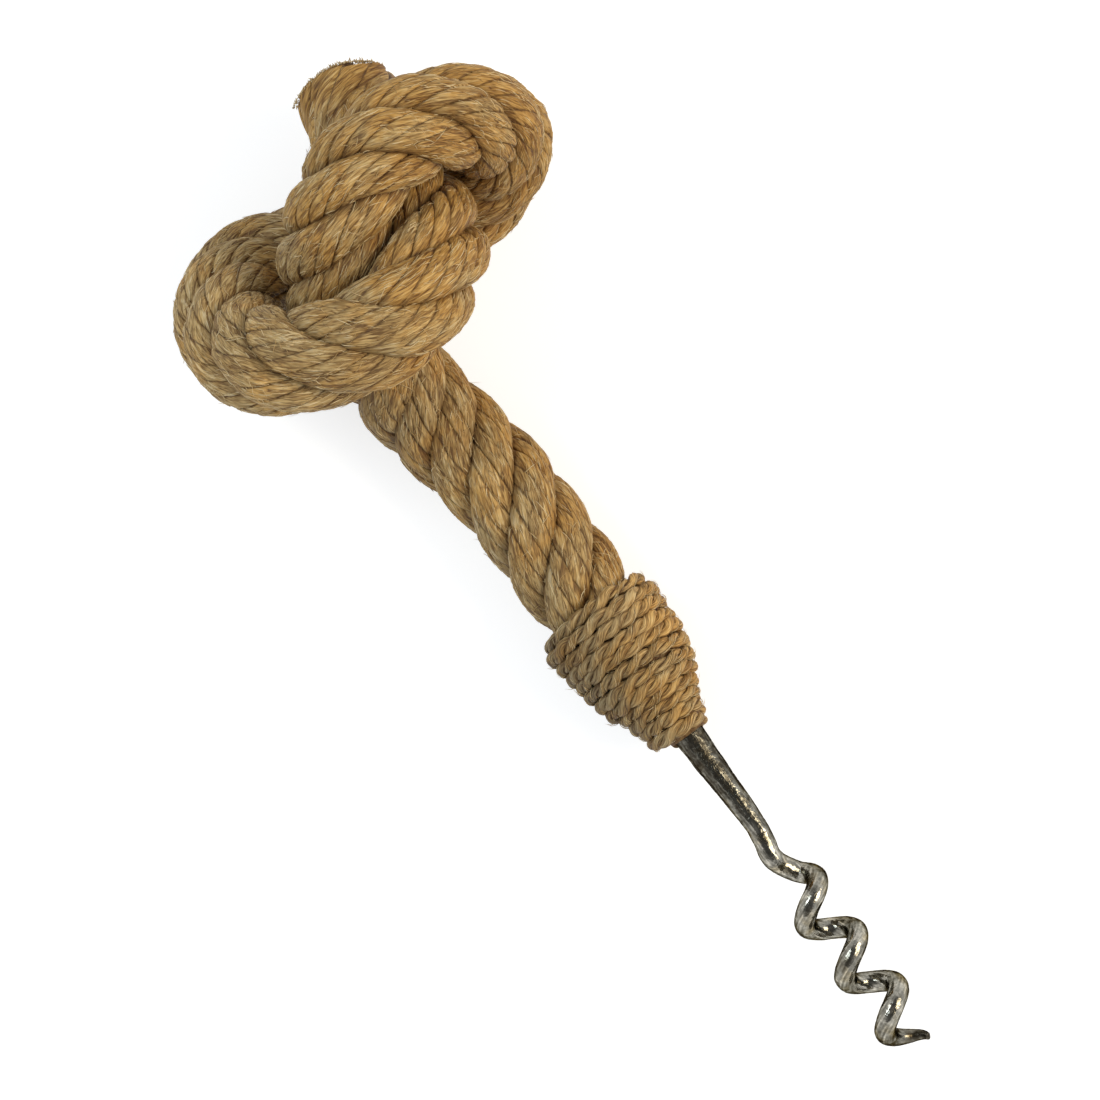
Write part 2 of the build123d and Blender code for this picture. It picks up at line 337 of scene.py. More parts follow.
def tubes(name, rings, uvs=None, values=None):
    """Closed tubes as one object. The rings are tubes x rings x points round x 3, counter-clockwise."""
    count, length, around = rings.shape[:3]
    body = count * length * around
    starts = rings[:, 0].mean(axis=1)
    ends = rings[:, -1].mean(axis=1)
    places = np.concatenate([rings.reshape(-1, 3), starts, ends])
    tube, ring, point = np.meshgrid(
        np.arange(count), np.arange(length - 1), np.arange(around), indexing="ij"
    )
    following = (point + 1) % around
    first = (tube * length + ring) * around
    beyond = first + around
    corners = [first + point, first + following, beyond + following, beyond + point]
    quads = np.stack(corners, -1).reshape(-1, 4)
    cap, edge = np.meshgrid(np.arange(count), np.arange(around), indexing="ij")
    next_edge = (edge + 1) % around
    low, high = cap * length * around, (cap * length + length - 1) * around
    low_fan = np.stack([body + cap, low + next_edge, low + edge], -1)
    high_fan = np.stack([body + count + cap, high + edge, high + next_edge], -1)
    fans = np.concatenate([low_fan.reshape(-1, 3), high_fan.reshape(-1, 3)])

    mesh = bpy.data.meshes.new(name)
    mesh.vertices.add(len(places))
    mesh.vertices.foreach_set("co", places.astype(np.float32).ravel())
    mesh.loops.add(quads.size + fans.size)
    loops = np.concatenate([quads.ravel(), fans.ravel()])
    mesh.loops.foreach_set("vertex_index", loops.astype(np.int32))
    mesh.polygons.add(len(quads) + len(fans))
    loop_starts = np.concatenate([np.arange(len(quads)) * 4, quads.size + np.arange(len(fans)) * 3])
    mesh.polygons.foreach_set("loop_start", loop_starts.astype(np.int32))
    mesh.update(calc_edges=True)
    mesh.shade_smooth()
    if uvs is not None:
        rows = [(ring, point), (ring, point + 1), (ring + 1, point + 1), (ring + 1, point)]
        corner_uvs = np.stack([uvs[tube, row, column] for row, column in rows], -2).reshape(-1, 2)
        loop_uvs = np.concatenate([corner_uvs, np.zeros((fans.size, 2))])
        layer = mesh.uv_layers.new(name="along_yarn")
        layer.data.foreach_set("uv", loop_uvs.astype(np.float32).ravel())
    for key, column in (values or {}).items():
        attribute = mesh.attributes.new(key, "FLOAT", "POINT")
        column = column.reshape(count, -1)
        caps = [column[:, 0], column[:, -1]]
        attribute.data.foreach_set("value", np.concatenate([column.ravel(), *caps]).astype(np.float32))
    return new_object(name, mesh)


# Nodes of the materials

def graph(name, owners=bpy.data.materials):
    """A new material, or the world, whose empty node tree takes the nodes that are added next."""
    global tree
    owner = owners.new(name)
    owner.use_nodes = True
    tree = owner.node_tree
    tree.nodes.clear()
    return owner


def add(kind, settings=None, output=0, **inputs):
    """One output of a new node. Inputs that are sockets are linked to it, and others are set."""
    node = tree.nodes.new(kind)
    for key, value in (settings or {}).items():
        setattr(node, key, value)
    for key, value in inputs.items():
        numbered = key[0] == "i" and key[1:].isdigit()
        socket = node.inputs[int(key[1:]) if numbered else key.replace("_", " ")]
        if isinstance(value, bpy.types.NodeSocket):
            tree.links.new(value, socket)
        else:
            socket.default_value = value
    return node.outputs[output] if node.outputs else None


def maths(operation, *values):
    inputs = {f"i{i}": value for i, value in enumerate(values)}
    return add("ShaderNodeMath", {"operation": operation}, **inputs)


def plus(first, second):
    return maths("ADD", first, second)


def minus(first, second):
    return maths("SUBTRACT", first, second)


def times(first, second):
    return maths("MULTIPLY", first, second)


def centred(value, share):
    """A pattern of values round a half, as a change of about nothing with the given share."""
    return times(minus(value, 0.5), share)


def ramp(factor, stops):
    """A colour ramp over the given (place, colour) stops."""
    toned = add("ShaderNodeValToRGB", i0=factor)
    elements = toned.node.color_ramp.elements
    while len(elements) < len(stops):
        elements.new(0.5)
    for element, (place, colour) in zip(elements, stops):
        element.position = place
        element.color = (*colour, 1)
    return toned


def scaled(factor, low, high, to_low=0.0, to_high=1.0):
    """A value taken from one range to another, and held within it."""
    return add("ShaderNodeMapRange", i0=factor, i1=low, i2=high, i3=to_low, i4=to_high)


def mix(blend, factor, first, second):
    """A colour blended with a fixed second colour by the factor."""
    settings = {"data_type": "RGBA", "blend_type": blend}
    return add("ShaderNodeMix", settings, 2, i0=factor, i6=first, i7=(*second, 1))


def clouds(coords, scale, detail, roughness=0.5):
    return add("ShaderNodeTexNoise", Vector=coords, Scale=scale, Detail=detail, Roughness=roughness)


def attribute(name):
    return add("ShaderNodeAttribute", {"attribute_name": name}, output="Fac")


def axis_of(vector, axis):
    """One coordinate of a vector, by its name."""
    return add("ShaderNodeSeparateXYZ", i0=vector, output=axis)


def object_place():
    return add("ShaderNodeTexCoord", output="Object")


def surface(colour, **inputs):
    shader = add("ShaderNodeBsdfPrincipled", Base_Color=colour, **inputs)
    add("ShaderNodeOutputMaterial", Surface=shader)


# Plant fibre, in millimetres along and across its yarns
YARN_WIDTH_MM = 2.2
PLY_WIDTH_MM = 2.3
FIBRE_WIDTH_MM = 0.30
FIBRE_WAVER_MM = 0.45
YARN_SHIFT = 13.7
# Each pattern: its length and its width as shares of the fibre's or the yarn's, its detail and seed
WAVER_PATTERN = (1.5, 0.8, 1.0, 5.3)
FINE_PATTERN = (0.5, 0.55, 1.0, 11.7)
SOFT_PATTERN = (1.2, 2.0, 1.0, 3.1)
BREAK_PATTERN = (1.1, 1.0, 2.0, 23.9)
PATTERN_ROUGHNESS = 0.6
# Each kind of cloud: its number per metre, its detail and its roughness
PATCHES = (110.0, 3.0, 0.6)
SPECKLES = (900.0, 1.0)
BLOTCHES = (420.0, 5.0, 0.65)
SPECKS = (1500.0, 3.0, 0.6)
HUES = (260.0, 2.0)
# The tone's middle, and the shares of flat fibres, fine streaks, soft streaks and yarns in it
MIDDLE_TONE = 0.47
TONE_SHARES = (0.50, 1.3, 0.2, 0.16)
# Painted light on one side of the part, which shifts the grey and golden patches, and where each of them is
# mixed in
PAINTED_LIGHT_SIDE_SHARE = -0.16
GREY_PATCHES_AND_LIGHT = (0.46, 0.66)
GOLDEN_PATCHES_AND_LIGHT = (0.55, 0.37)
FIBRE_EDGES = (0.12, 0.02, 0.0, 0.45)
# Painted shade on one side of each yarn, in the grooves between yarns and where strands or plies meet: how
# its lines waver and break, and how dark it is
YARN_SHAKE = 0.25
YARN_SHADE_RANGE = (0.0, 0.35, 0.32, 0.0)
GROOVE_BREAKS = 9
LEAST_GROOVE = 0.004
GROOVE_FADE = 0.8
GROOVE_SHADE_STRENGTH = 0.75
PAINTED_SHADE_STRENGTH = 0.88
FLAT_HEIGHT_SHARE = 0.25
GROOVE_HEIGHT_SHARE = -0.4
FIBRE_ROUGHNESS, FIBRE_GLOSS = 0.6, 0.35
LOOSE_ROUGHNESS, LOOSE_GLOSS = 0.5, 0.4
SPECKLE_SHARE = 0.3

MANILA_TONES = [
    (0.05, (0.17, 0.085, 0.024)), (0.30, (0.35, 0.205, 0.066)), (0.50, (0.525, 0.325, 0.114)),
    (0.70, (0.62, 0.415, 0.165)), (0.95, (0.76, 0.57, 0.30)),
]
TWINE_TONES = [
    (0.05, (0.16, 0.087, 0.029)), (0.30, (0.34, 0.206, 0.075)), (0.50, (0.515, 0.336, 0.136)),
    (0.70, (0.59, 0.410, 0.180)), (0.95, (0.74, 0.56, 0.29)),
]
FIBRE_TONES = [
    (0.0, (0.26, 0.140, 0.045)), (0.5, (0.58, 0.385, 0.160)), (1.0, (0.84, 0.68, 0.40)),
]
# The grey and golden colours of patches and painted light, the colour of fibre edges, and the colours of
# painted shade
GREY_SHIFT = (0.85, 0.91, 1.04)
GOLDEN_SHIFT = (1.0, 0.87, 0.63)
FIBRE_EDGE_COLOUR = (0.34, 0.25, 0.16)
YARN_SHADE = (0.46, 0.36, 0.26)
PAINTED_SHADE_COLOUR = (0.085, 0.036, 0.011)

# Across the part, the rope and the twine have painted light: greyer on one side and more golden on the
# other, with the knot's far loop painted lighter
NECK_Y = float(NECK_START[1])
PAINTED_LIGHT_SIDE_RANGE = (NECK_Y - 12 * MM, NECK_Y + 12 * MM, -0.5, 0.5)
FAR_LOOP_LIGHT_RANGE = (NECK_Y - 12.5 * MM, NECK_Y - 18 * MM, 1.0, 1.22)


def plant_fibre(name, tones, yarn_width, slope, fibre_length, bump_height, groove_edge, side_painted_light):
    """Twisted plant fibre: flat fibres that cross each yarn at a slope, dark lines of painted shade between
    yarns and strands, and painted light on one side.
    """
    material = graph(name)
    uv = add("ShaderNodeUVMap", {"uv_map": "along_yarn"})
    along, across = axis_of(uv, "X"), axis_of(uv, "Y")
    yarn = maths("FLOOR", across)
    coords = object_place()
    across_part = axis_of(coords, "Y")

    def grid(length, width, sideways, seed):
        """Coordinates that draw a pattern out to a length and a width."""
        lengthwise, widthwise = times(along, 1 / length), times(sideways, 1 / width)
        return add("ShaderNodeCombineXYZ", i0=lengthwise, i1=widthwise, i2=seed)

    def streaks(pattern, width, sideways):
        length_share, width_share, detail, seed = pattern
        vector = grid(fibre_length * length_share, width * width_share, sideways, seed)
        return clouds(vector, 1.0, detail, PATTERN_ROUGHNESS)

    across_mm = times(across, yarn_width)
    waver = streaks(WAVER_PATTERN, yarn_width, across_mm)
    sideways = minus(across_mm, times(along, slope))
    sideways = plus(sideways, centred(waver, FIBRE_WAVER_MM))
    sideways = plus(sideways, times(yarn, YARN_SHIFT))
    flat_grid = grid(fibre_length, FIBRE_WIDTH_MM, sideways, 0.0)

    def cells(feature, output):
        settings = {"voronoi_dimensions": "2D", "feature": feature}
        return add("ShaderNodeTexVoronoi", settings, output, Vector=flat_grid, Scale=1.0)

    flat_tone = add("ShaderNodeSeparateColor", i0=cells("F1", "Color"))
    edge = cells("DISTANCE_TO_EDGE", "Distance")
    fine = streaks(FINE_PATTERN, FIBRE_WIDTH_MM, sideways)
    soft = streaks(SOFT_PATTERN, FIBRE_WIDTH_MM, sideways)
    patches = clouds(coords, *PATCHES)
    yarn_tone = add("ShaderNodeTexWhiteNoise", {"noise_dimensions": "1D"}, W=yarn)

    tone = MIDDLE_TONE
    for value, share in zip((flat_tone, fine, soft, yarn_tone), TONE_SHARES):
        tone = plus(tone, centred(value, share))
    colour = ramp(tone, tones)
    # Painted light: random grey and golden patches, shifted greyer on one side and more golden on the
    # other, the knot's far loop lighter, and the twine brighter on its golden side and darker on its grey
    # side
    side = scaled(across_part, *PAINTED_LIGHT_SIDE_RANGE)
    patches_and_side_light = plus(patches, times(side, PAINTED_LIGHT_SIDE_SHARE))
    colour = mix("MULTIPLY", scaled(patches_and_side_light, *GREY_PATCHES_AND_LIGHT), colour, GREY_SHIFT)
    colour = mix("MULTIPLY", scaled(patches_and_side_light, *GOLDEN_PATCHES_AND_LIGHT), colour, GOLDEN_SHIFT)
    far_loop_light = scaled(across_part, *FAR_LOOP_LIGHT_RANGE)
    lift = plus(far_loop_light, times(side, side_painted_light))
    colour = add("ShaderNodeVectorMath", {"operation": "SCALE"}, i0=colour, Scale=lift)
    colour = mix("MULTIPLY", scaled(edge, *FIBRE_EDGES), colour, FIBRE_EDGE_COLOUR)

    # Painted shade: one side of each yarn is darker, as if under its neighbour, and dark lines lie in the
    # grooves and where strands or plies meet
    shaken = maths("FRACT", plus(across, centred(waver, YARN_SHAKE)))
    colour = mix("MULTIPLY", scaled(shaken, *YARN_SHADE_RANGE), colour, YARN_SHADE)
    from_groove = minus(0.5, maths("ABSOLUTE", minus(shaken, 0.5)))
    broken = centred(streaks(BREAK_PATTERN, yarn_width, across_mm), GROOVE_BREAKS * groove_edge)
    reach = maths("MAXIMUM", plus(groove_edge, broken), LEAST_GROOVE)
    groove = minus(1.0, maths("DIVIDE", from_groove, reach))
    groove = scaled(groove, 0.0, GROOVE_FADE)
    dark = maths("MAXIMUM", times(groove, GROOVE_SHADE_STRENGTH), attribute("crevice_shade"))
    colour = mix("MIX", times(dark, PAINTED_SHADE_STRENGTH), colour, PAINTED_SHADE_COLOUR)

    height = plus(times(flat_tone, FLAT_HEIGHT_SHARE), fine)
    height = plus(height, times(groove, GROOVE_HEIGHT_SHARE))
    bump = add("ShaderNodeBump", Strength=1.0, Distance=bump_height, Height=height)
    surface(colour, Normal=bump, Roughness=FIBRE_ROUGHNESS, Specular_IOR_Level=FIBRE_GLOSS)
    return material


def loose_fibre(name, tones):
    """Single fibres, each with its own tone."""
    material = graph(name)
    speckle = centred(clouds(object_place(), *SPECKLES), SPECKLE_SHARE)
    colour = ramp(plus(attribute("tint"), speckle), tones)
    surface(colour, Roughness=LOOSE_ROUGHNESS, Specular_IOR_Level=LOOSE_GLOSS)
    return material


rope_slope = FIBRE_TURN_SHARE * YARN_WIDTH_MM * YARNS / (YARN_LAY / MM)
# Each one's yarn width, slope, fibre length, bump height, edge of a groove and painted light to one side
manila = plant_fibre("manila_rope", MANILA_TONES, YARN_WIDTH_MM, rope_slope, 3.0, 0.30 * MM, 0.06, 0.0)
hemp = plant_fibre("hemp_twine", TWINE_TONES, PLY_WIDTH_MM, 0.12, 2.8, 0.26 * MM, 0.02, 0.95)
straw = loose_fibre("loose_fibres", FIBRE_TONES)


# The rope's centre line and its four strands

def rope_line():
    """The rope's centre line, from its end under the twine to past the end of the tail."""
    rise = NECK_HEIGHT - LOW_PASS_HEIGHT
    route = [(x, y, LOW_PASS_HEIGHT + share * rise) for x, y, share in STEM_ROUTE]
    route += [(x, y, LOW_PASS_HEIGHT + height) for x, y, height in KNOT_ROUTE]
    line = spline_line(route) + NECK_START
    tuck = line[0] + (TUCK_LENGTH, 0, 0)
    past = line[-1] + TAIL_OVERRUN * unit(line[-1] - line[-2])
    line = np.concatenate([[tuck], line, [past]])
    along = lengths(line)
    count = round(along[-1] / STRAND_STEP) + 1
    places = np.linspace(0, along[-1], count)
    return places - TUCK_LENGTH, at(places, along, line)


def part_passes(centres, rope_place, held):
    """Moves strands of different passes of the rope apart where they press, and not where held."""
    place = np.tile(rope_place, len(centres))
    near = np.abs(place[:, None] - place[None]) < PRESS_OWN_REACH
    for _ in range(PRESS_ROUNDS):
        points = centres.reshape(-1, 3)
        apart = points[:, None] - points[None]
        gaps = np.sqrt((apart**2).sum(-1)) + TINY
        press = np.clip(2 * PRESSED_RADIUS - gaps, 0, None)
        press[near] = 0
        deepest = press.max(axis=1, keepdims=True)
        weight = press / np.maximum(press.sum(axis=1, keepdims=True), TINY)
        push = (weight[..., None] * apart / gaps[..., None]).sum(axis=1) * deepest / 2
        push = push.reshape(centres.shape) * (1 - held)[None, :, None]
        centres = centres + np.apply_along_axis(smoothed, 1, push, PRESS_SMOOTHING)
    return centres


rope_place, rope_centre = rope_line()
rope_tangent, rope_normal, rope_binormal = turning_frame(rope_centre, (0, 0, 1))
samples = len(rope_place)
rope_length = samples * STRAND_STEP
cut_place = rope_place[-1] - TAIL_OVERRUN
tail_end = at(cut_place, rope_place, rope_centre)
tail_direction = rope_tangent[-1]
tail_share = eased((rope_place - cut_place) / TAIL_LENGTH + 1)
tuck_size = 1 - TUCK_SHRINK * np.clip((TUCK_REACH - rope_place) / (TUCK_REACH + TUCK_LENGTH), 0, 1)
slimming = tuck_size * (1 + TAIL_STRAND_GROWTH * tail_share)

strand_turns = smoothed(np.interp(rope_place, *np.array(STRAND_TURNS).T), TURN_SMOOTHING)
phases = tau * (rope_place / ROPE_LAY + np.arange(STRANDS)[:, None] / STRANDS)
phases = phases + strand_turns + TAIL_EXTRA_TWIST * tail_share
ring = STRAND_RING_RADIUS * tuck_size * (1 - TAIL_RING_SHRINK * tail_share)
centres = rope_centre + ring[:, None] * turned_from(rope_normal, rope_binormal, phases)
centres = part_passes(centres, rope_place, tail_share)
strand_tangent = unit(np.gradient(centres, axis=1))
outward = square_to(strand_tangent, centres - rope_centre)
sideways = np.cross(strand_tangent, outward)
strand_place = np.stack([lengths(line) for line in centres])
yarn_rate = tau / YARN_LAY * (1 - TAIL_YARN_UNTWIST * tail_share)
yarn_turn = np.cumsum(yarn_rate * np.diff(strand_place, axis=1, prepend=0), axis=1)


def strand_shape(theta):
    """A strand's cross-section, an oval with flattened sides: its outward and sideways shares."""
    up, aside = np.cos(theta), np.sin(theta)
    size = np.abs(up) ** STRAND_SQUARENESS + np.abs(aside) ** STRAND_SQUARENESS
    size = size ** (-1 / STRAND_SQUARENESS)
    return size * up, size * aside * STRAND_WIDENING


def yarn_ridge(shares, groove):
    """The height of a yarn across its width: flat on top, with a steep groove on each side."""
    aside = np.abs(2 * shares - 1)
    return -groove * (aside**YARN_EDGE_POWER + YARN_CROWN_SHARE * aside**2)


def beyond_cut(places):
    """How far places lie beyond the tail's cut, which is a little domed."""
    offset = places - tail_end
    along = offset @ tail_direction
    from_axis = (offset**2).sum(-1) - along**2
    return along + from_axis / (2 * TAIL_DOME_RADIUS) - TAIL_DOME_RISE


def cut_tail(rings, uv, raggedness):
    """Ends a strand's lengthwise lines on the tail's cut, a little ragged."""
    window = round(TAIL_CUT_WINDOW / STRAND_STEP)
    index = np.arange(samples, dtype=float)
    fixed = samples - 1 - window
    for j in range(rings.shape[1]):
        beyond = np.maximum.accumulate(beyond_cut(rings[fixed:, j]) - raggedness[j])
        crossing = np.interp(0, beyond, index[fixed:])
        squeezed = np.where(index > fixed, fixed + (index - fixed) * (crossing - fixed) / window, index)
        rings[:, j] = at(squeezed, index, rings[:, j])
        uv[:, j, 0] = at(squeezed, index, uv[:, j, 0])
    uv[:, -1, 0] = uv[:, 0, 0]


yarn_numbers, yarn_shares = yarn_points(YARN_POINT_SHARES, YARNS)
yarn_places = yarn_numbers + yarn_shares
neighbour = np.where(yarn_shares < 0.5, yarn_numbers - 1, yarn_numbers + 1) % YARNS
blend = np.abs(yarn_shares - 0.5)
strand_rings, strand_uvs = [], []
for k in range(STRANDS):
    yarn_height = YARN_UNEVENNESS * wander(samples, rope_length / YARN_WAVE, YARNS)
    groove = YARN_GROOVE * (1 + GROOVE_UNEVENNESS * wander(samples, rope_length / GROOVE_WAVE, YARNS))
    swell = STRAND_UNEVENNESS * wander(samples, rope_length / STRAND_WAVE)[0]
    theta = tau * yarn_places / YARNS - yarn_turn[k][:, None]
    height = (1 - blend) * yarn_height[yarn_numbers].T + blend * yarn_height[neighbour].T
    height = height + yarn_ridge(yarn_shares, np.maximum(groove, LEAST_YARN_GROOVE)[yarn_numbers].T)
    bulk = ((STRAND_RADIUS + swell) * slimming)[:, None] + height
    up_share, side_share = strand_shape(theta)
    rings = section(centres[k], bulk * up_share, outward[k], bulk * side_share, sideways[k])
    uv = uv_grid(strand_place[k] / MM, np.append(yarn_places, YARNS) + k * STRAND_UV_STEP)
    cut_tail(rings, uv, rng.uniform(-1, 1, YARNS)[yarn_numbers] * TAIL_RAGGEDNESS)
    strand_rings.append(rings)
    strand_uvs.append(uv)
strand_rings = np.array(strand_rings)
strand_rings[..., 2] = np.maximum(strand_rings[..., 2], 0)


def painted_crevice_shade(rings, lines, place, radius, own_reach, fade, stride):
    """How deep between tubes each point of their rings lies, as painted shade: 1 against another, and 0 in
    the open.
    """
    count, length = lines.shape[:2]
    others = lines[:, ::stride].reshape(-1, 3)
    other_line = np.repeat(np.arange(count), lines[:, ::stride].shape[1])
    other_place = np.tile(place[::stride], count)
    far = 4 * radius
    depth = np.zeros(rings.shape[:3])
    for k in range(count):
        for i in range(length):
            skip = (other_line == k) & (np.abs(other_place - place[i]) < own_reach)
            close = ~skip & (np.linalg.norm(others - lines[k, i], axis=1) < far)
            apart = np.linalg.norm(rings[k, i][:, None] - others[close][None], axis=-1)
            gap = apart.min(axis=1, initial=far) - radius
            depth[k, i] = np.exp(-np.clip(gap, 0, None) / fade)
    return depth


# Painted shade where strands lie against other strands
strand_crevice_shade = painted_crevice_shade(
    strand_rings, centres, rope_place, STRAND_RADIUS, ROPE_OWN_REACH, ROPE_CREVICE_SHADE_FADE, stride=3
)
strands = tubes("rope_strands", strand_rings, np.array(strand_uvs), {"crevice_shade": strand_crevice_shade})
strands.data.materials.append(manila)
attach(strands, "root")
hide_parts("rope_handle")


# The neck under the twine, and the twine itself

def neck_line():
    """The neck's outline in the plane of its axis, as places along it and radii."""
    points = []
    for along, share in NECK_OUTLINE_SHARES:
        radius = NECK_END_RADIUS + share * (ROPE_RADIUS - NECK_END_RADIUS)
        points.append((along * NECK_LENGTH, radius, 0))
    return spline_line(points)[:, :2]


outline = neck_line()
outline_place = lengths(outline)
outline_length = outline_place[-1]
outline_normal = unit(np.gradient(outline, axis=0)[:, ::-1] * (-1, 1))

core_places = np.linspace(CORE_START_SHARE, CORE_END_SHARE, CORE_RINGS)
core_profile = at(core_places * outline_length, outline_place, outline)
core_turn = np.linspace(0, tau, CORE_POINTS, endpoint=False)
core_radius = core_profile[:, 1] - CORE_DEPTH
core_x = np.repeat(core_profile[:, :1], CORE_POINTS, axis=1)
core_y, core_z = -np.outer(core_radius, np.sin(core_turn)), np.outer(core_radius, np.cos(core_turn))
core = np.stack([core_x, core_y, core_z], -1)[::-1, ::-1] + NECK_ORIGIN
core_uv = uv_grid(np.linspace(0, NECK_LENGTH / MM, CORE_RINGS), np.arange(CORE_POINTS + 1) * CORE_YARN_STEP)
core_crevice_shade = np.full((1, CORE_RINGS, CORE_POINTS), CORE_CREVICE_SHADE)
neck_core = tubes("rope_neck_core", core[None], core_uv[None], {"crevice_shade": core_crevice_shade})
neck_core.data.materials.append(manila)
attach(neck_core, "root")

laid = outline_length - WHIPPING_START - WHIPPING_END
turns = np.linspace(-TWINE_DIP_TURNS, TWINE_TURNS + TWINE_DIP_TURNS, TWINE_SAMPLES)
foot_place = np.minimum(WHIPPING_START + laid * turns / TWINE_TURNS, outline_length)
foot = at(foot_place, outline_place, outline)
foot[:, 0] += np.minimum(foot_place, 0)
foot_normal = unit(at(foot_place, outline_place, outline_normal))
shifted, lifted = TURN_UNEVENNESS * wander(TWINE_SAMPLES, TURN_WAVES, 2)
from_end = np.minimum(turns - turns[0], turns[-1] - turns)
dip = TWINE_DIP * np.clip(1 - from_end / TWINE_DIP_TURNS, 0, 1) ** 2
lift = np.interp(turns, *np.array(TWINE_LIFTS).T) + TURN_LIFT_SHARE * lifted - dip
foot = foot + foot_normal * lift[:, None]
radius = foot[:, 1]
angle = -tau * turns - pi / 2
tilt = TURN_TILT * np.sin(angle) * radius / ROPE_RADIUS
tilt = tilt + FIRST_TURN_SHIFT * (1 + np.cos(angle)) / 2 * np.clip(1 - turns / FIRST_TURNS, 0, 1)
aside = END_SIDESTEP * np.clip((foot[:, 0] - END_SIDESTEP_FROM) / END_SIDESTEP_REACH, 0, 1)
aside = aside + FIRST_SIDESTEP * np.clip(1 - turns / FIRST_SIDESTEP_TURNS, 0, 1)
twine = np.stack([foot[:, 0] + shifted - tilt, radius * np.cos(angle) - aside, radius * np.sin(angle)], -1)
twine_along = lengths(twine)
twine_count = round(twine_along[-1] / TWINE_STEP)
twine_place = np.linspace(0, twine_along[-1], twine_count)
twine = at(twine_place, twine_along, twine)
twine_tangent = unit(np.gradient(twine, axis=0))
away = square_to(twine_tangent, twine * (0, 1, 1))
beside = np.cross(twine_tangent, away)
ply_size = 1 + PLY_UNEVENNESS * wander(twine_count, PLY_WAVES, PLIES)
ply_phase = -tau * (twine_place / TWINE_LAY + np.arange(PLIES)[:, None] / PLIES)
ply_phase = ply_phase + PLY_TURN_UNEVENNESS * wander(twine_count, PLY_TURN_WAVES)
ply_offset = turned_from(TWINE_FLATNESS * away, TWINE_SPREAD * beside, ply_phase)
ply_centre = twine + PLY_RING_RADIUS * ply_size[..., None] * ply_offset
ply_tangent = unit(np.gradient(ply_centre, axis=1))
ply_out = square_to(ply_tangent, ply_centre - twine)
ply_side = np.cross(ply_tangent, ply_out)

ply_numbers, ply_shares = yarn_points(PLY_POINT_SHARES, PLY_YARNS)
ply_places = ply_numbers + ply_shares
ply_rings, ply_uvs = [], []
for k in range(PLIES):
    theta = tau * (ply_places / PLY_YARNS + (twine_place / PLY_YARN_LAY)[:, None])
    groove = PLY_GROOVE * (1 + PLY_GROOVE_UNEVENNESS * wander(twine_count, PLY_GROOVE_WAVES, PLY_YARNS))
    height = -groove[ply_numbers].T * np.abs(2 * ply_shares - 1) ** PLY_EDGE_POWER
    bulk = PLY_RADIUS * ply_size[k][:, None] + height
    up, aside = bulk * PLY_THINNING * np.cos(theta), bulk * PLY_WIDENING * np.sin(theta)
    ply_rings.append(section(ply_centre[k], up, ply_out[k], aside, ply_side[k]))
    ply_uvs.append(uv_grid(twine_place / MM, np.append(ply_places, PLY_YARNS) + k * PLY_UV_STEP))
ply_rings = np.array(ply_rings)
# Painted shade where plies lie against other plies
ply_crevice_shade = painted_crevice_shade(
    ply_rings, ply_centre, twine_place, PLY_RADIUS, PLY_OWN_REACH, PLY_CREVICE_SHADE_FADE, stride=2
)
ply_rings = ply_rings + TWINE_ORIGIN
ply_rings[..., 2] = np.maximum(ply_rings[..., 2], 0)
whipping = tubes("neck_twine", ply_rings, np.array(ply_uvs), {"crevice_shade": ply_crevice_shade})
whipping.data.materials.append(hemp)
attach(whipping, "root")
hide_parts("neck_whipping")


# Loose fibres

# Name, count, length, lift, sideways spread, seed, points, thinnest and thickest radius
ROPE_FIBRES = [
    ("rope_lying_fibres", 12000, 2.8 * MM, 0.07 * MM, 0.4 * MM, 21, 5, 0.045 * MM, 0.10 * MM),
    ("rope_raised_fibres", 1300, 2.2 * MM, 0.28 * MM, 0.9 * MM, 22, 5, 0.045 * MM, 0.09 * MM),
    ("rope_stray_fibres", 90, 5 * MM, 0.7 * MM, 1.4 * MM, 23, 9, 0.03 * MM, 0.05 * MM),
]
# Name, count, length, lift, seed, thinnest and thickest radius
TWINE_FIBRES = [
    ("twine_lying_fibres", 3200, 2.2 * MM, 0.05 * MM, 31, 0.04 * MM, 0.075 * MM),
    ("twine_stray_fibres", 640, 2.4 * MM, 0.45 * MM, 32, 0.035 * MM, 0.06 * MM),
]
FIBRE_POINTS = 5
FIBRE_SIDES = 3
FIBRE_ROOT_SIZE, FIBRE_TIP_SIZE = 0.35, 0.25
FIBRE_CLEARANCE = 0.1 * MM
LEAST_TINT = 0.1
FACING_SPREAD = 0.8
LEAST_ROPE_RUN, LEAST_TWINE_RUN = 0.35, 0.3
ROOT_LIFT_SHARE = 0.35
ROPE_TIP_POWER, TWINE_TIP_POWER = 2.2, 1.8
ROPE_FIBRE_SEAT, TWINE_FIBRE_SINK = 0.01 * MM, 0.03 * MM
# Rope fibres begin short of the tail's cut, and twine fibres short of the twine's ends
BARE_TAIL_LENGTH = 0.7 * TAIL_OVERRUN
TWINE_END_SHARE = 0.03
TWINE_FIBRE_TWIST = 0.12
FRINGE_COUNT, FRINGE_SEED = 2200, 41
FRINGE_SPREAD = 0.94
FRINGE_LENGTHS_MM = (2.0, 0.16)
SHORTEST_FRINGE_MM, LONGEST_FRINGE_MM = 0.15, 0.9
FRINGE_LEAN = 0.2
FRINGE_STRAND_SHARE = 0.45
FRINGE_THINNEST, FRINGE_THICKEST = 0.06 * MM, 0.13 * MM
FRINGE_UP = (0.0, 0.31, 0.95)


